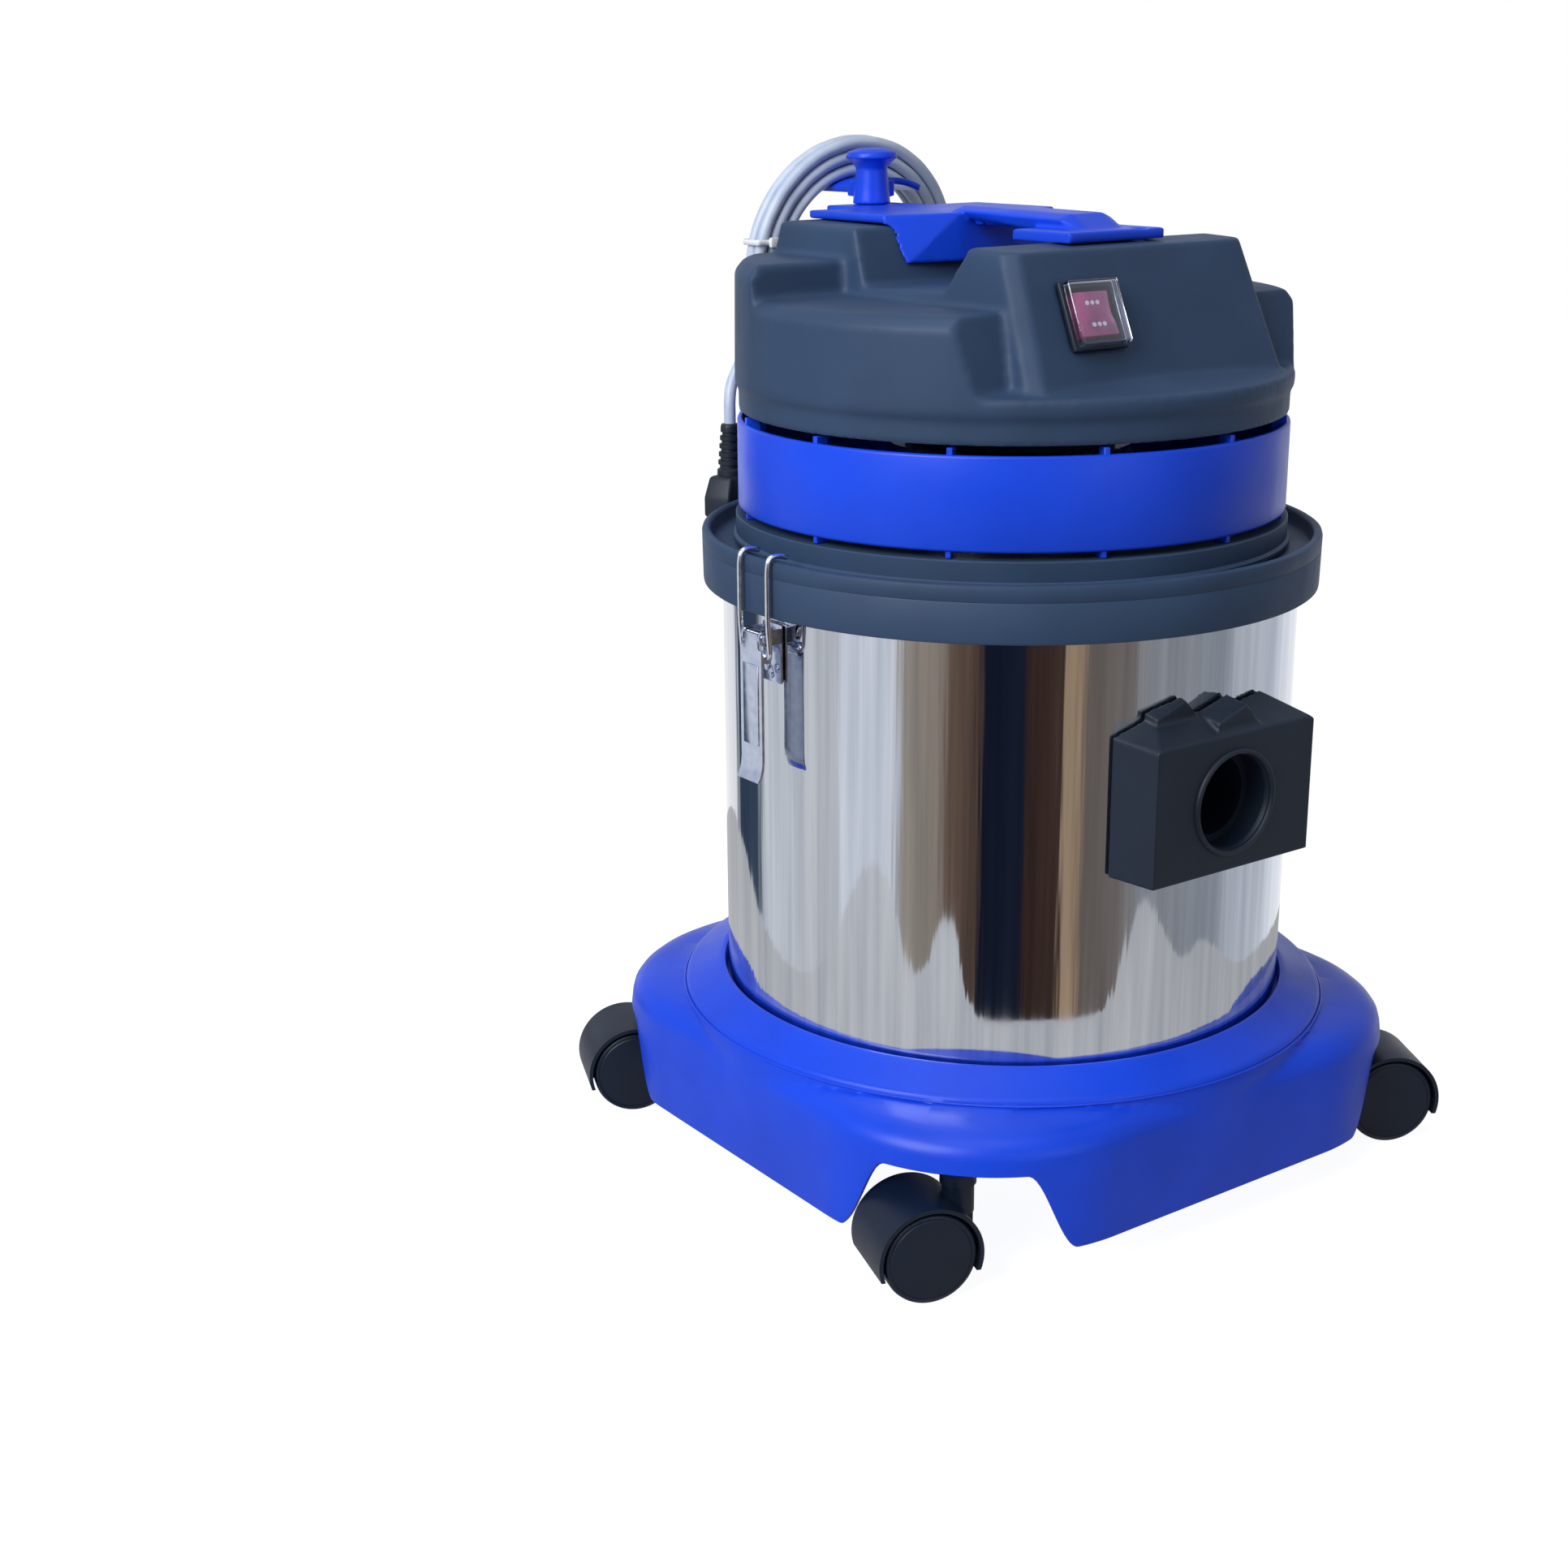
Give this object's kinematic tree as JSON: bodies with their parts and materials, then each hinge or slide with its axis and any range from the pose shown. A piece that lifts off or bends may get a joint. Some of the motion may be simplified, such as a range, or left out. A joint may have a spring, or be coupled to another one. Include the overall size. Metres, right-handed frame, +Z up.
{
  "type": "wet and dry canister vacuum cleaner",
  "caption": "Polished steel tank on a castered moulded trolley, closed by a latched motor head with carry handle, rocker switch, cord hook and hanging mains cord.",
  "frame": {"origin": "on the tank axis at floor level", "axes": "+Z up, -Y is the front with the suction inlet, +X to the right seen from behind the machine, the two latches at +X and -X"},
  "size_m": [0.4035, 0.3876, 0.5657],
  "materials": {
    "blue_plastic": "satin moulded polypropylene",
    "slate_plastic": "fine matt moulded plastic",
    "black_plastic": "matt moulded plastic",
    "polished_steel": "mirror-polished stainless steel",
    "zinc": "bright zinc plate",
    "grey_cable": "soft flexible PVC",
    "copper": "lacquered laminations and copper wire",
    "rubber": "soft black rubber",
    "filter_cloth": "felted cloth",
    "white_plastic": "plain",
    "clear_cover": "clear flexible PVC",
    "red_rocker": "translucent red"
  },
  "bodies": {
    "trolley": {"trolley_base": "blue_plastic", "tank": "polished_steel", "rim_band": "slate_plastic", "inlet_housing": "black_plastic", "inlet_elbow": "black_plastic", "latch_left_bracket": "zinc", "latch_left_pin": "zinc", "latch_right_bracket": "zinc", "latch_right_pin": "zinc"},
    "head": {"motor_plate": "slate_plastic", "head_seal": "rubber", "baffle_band": "blue_plastic", "head_cover": "slate_plastic", "switch_bezel": "black_plastic", "switch_body": "black_plastic", "switch_splash_cover": "clear_cover", "handle": "blue_plastic", "cord_hook": "blue_plastic", "fan_can": "zinc", "motor_stator": "copper", "motor_shell": "slate_plastic", "float_cage": "black_plastic", "filter_frame": "black_plastic", "filter_bag": "filter_cloth", "cord_gland": "black_plastic", "cord_lead_in": "grey_cable", "cord_hank": "grey_cable", "cord_lead_out": "grey_cable", "plug": "black_plastic"},
    "rotor": {"motor_shaft": "zinc", "impeller": "zinc", "motor_armature": "copper"},
    "float": {"float": "white_plastic"},
    "rocker": {"switch_rocker": "red_rocker"},
    "front_left_swivel": {"caster_front_left_hood": "black_plastic", "caster_front_left_stem": "zinc"},
    "front_left_wheels": {"caster_front_left_axle": "zinc", "caster_front_left_wheel_a": "black_plastic", "caster_front_left_wheel_b": "black_plastic"},
    "front_right_swivel": {"caster_front_right_hood": "black_plastic", "caster_front_right_stem": "zinc"},
    "front_right_wheels": {"caster_front_right_axle": "zinc", "caster_front_right_wheel_a": "black_plastic", "caster_front_right_wheel_b": "black_plastic"},
    "rear_right_swivel": {"caster_rear_right_hood": "black_plastic", "caster_rear_right_stem": "zinc"},
    "rear_right_wheels": {"caster_rear_right_axle": "zinc", "caster_rear_right_wheel_a": "black_plastic", "caster_rear_right_wheel_b": "black_plastic"},
    "rear_left_swivel": {"caster_rear_left_hood": "black_plastic", "caster_rear_left_stem": "zinc"},
    "rear_left_wheels": {"caster_rear_left_axle": "zinc", "caster_rear_left_wheel_a": "black_plastic", "caster_rear_left_wheel_b": "black_plastic"},
    "left_lever": {"latch_left_lever": "zinc"},
    "left_bail": {"latch_left_bail": "zinc"},
    "right_lever": {"latch_right_lever": "zinc"},
    "right_bail": {"latch_right_bail": "zinc"}
  },
  "joints": [
    {"name": "head_lift", "type": "slide", "parent": "trolley", "child": "head", "axis": [0, 0, 1], "range_m": [0, 0.15]},
    {"name": "rotor_spin", "type": "hinge", "parent": "head", "child": "rotor", "pos_m": [0, 0, 0.4], "axis": [0, 0, 1], "continuous": true},
    {"name": "float_rise", "type": "slide", "parent": "head", "child": "float", "axis": [0, 0, 1], "range_m": [0, 0.015]},
    {"name": "switch_rock", "type": "hinge", "parent": "head", "child": "rocker", "pos_m": [-0.041, -0.102, 0.48225], "axis": [1, 0, 0], "range_deg": [0, 10]},
    {"name": "front_left_swivel_turn", "type": "hinge", "parent": "trolley", "child": "front_left_swivel", "pos_m": [-0.147, -0.14, 0.05], "axis": [0, 0, 1], "continuous": true},
    {"name": "front_left_roll", "type": "hinge", "parent": "front_left_swivel", "child": "front_left_wheels", "pos_m": [-0.16792, -0.1332, 0.025], "axis": [-0.309, -0.9511, 0], "continuous": true},
    {"name": "front_right_swivel_turn", "type": "hinge", "parent": "trolley", "child": "front_right_swivel", "pos_m": [0.147, -0.14, 0.05], "axis": [0, 0, 1], "continuous": true},
    {"name": "front_right_roll", "type": "hinge", "parent": "front_right_swivel", "child": "front_right_wheels", "pos_m": [0.16642, -0.15033, 0.025], "axis": [0.4695, 0.8829, 0], "continuous": true},
    {"name": "rear_right_swivel_turn", "type": "hinge", "parent": "trolley", "child": "rear_right_swivel", "pos_m": [0.147, 0.14, 0.05], "axis": [0, 0, 1], "continuous": true},
    {"name": "rear_right_roll", "type": "hinge", "parent": "rear_right_swivel", "child": "rear_right_wheels", "pos_m": [0.16792, 0.1332, 0.025], "axis": [0.309, 0.9511, 0], "continuous": true},
    {"name": "rear_left_swivel_turn", "type": "hinge", "parent": "trolley", "child": "rear_left_swivel", "pos_m": [-0.147, 0.14, 0.05], "axis": [0, 0, 1], "continuous": true},
    {"name": "rear_left_roll", "type": "hinge", "parent": "rear_left_swivel", "child": "rear_left_wheels", "pos_m": [-0.1674, 0.14824, 0.025], "axis": [-0.3746, -0.9272, 0], "continuous": true},
    {"name": "left_lever_open", "type": "hinge", "parent": "trolley", "child": "left_lever", "pos_m": [-0.172, 0, 0.32], "axis": [0, 1, 0], "range_deg": [0, 110]},
    {"name": "left_bail_swing", "type": "hinge", "parent": "left_lever", "child": "left_bail", "pos_m": [-0.172, 0, 0.31], "axis": [0, 1, 0], "range_deg": [-150, 0]},
    {"name": "right_lever_open", "type": "hinge", "parent": "trolley", "child": "right_lever", "pos_m": [0.172, 0, 0.32], "axis": [0, -1, 0], "range_deg": [0, 110]},
    {"name": "right_bail_swing", "type": "hinge", "parent": "right_lever", "child": "right_bail", "pos_m": [0.172, 0, 0.31], "axis": [0, -1, 0], "range_deg": [-150, 0]}
  ],
  "couplings": [
    {"joint": "left_bail_swing", "follows": "left_lever_open", "ratio": -1.35},
    {"joint": "right_bail_swing", "follows": "right_lever_open", "ratio": -1.35}
  ]
}
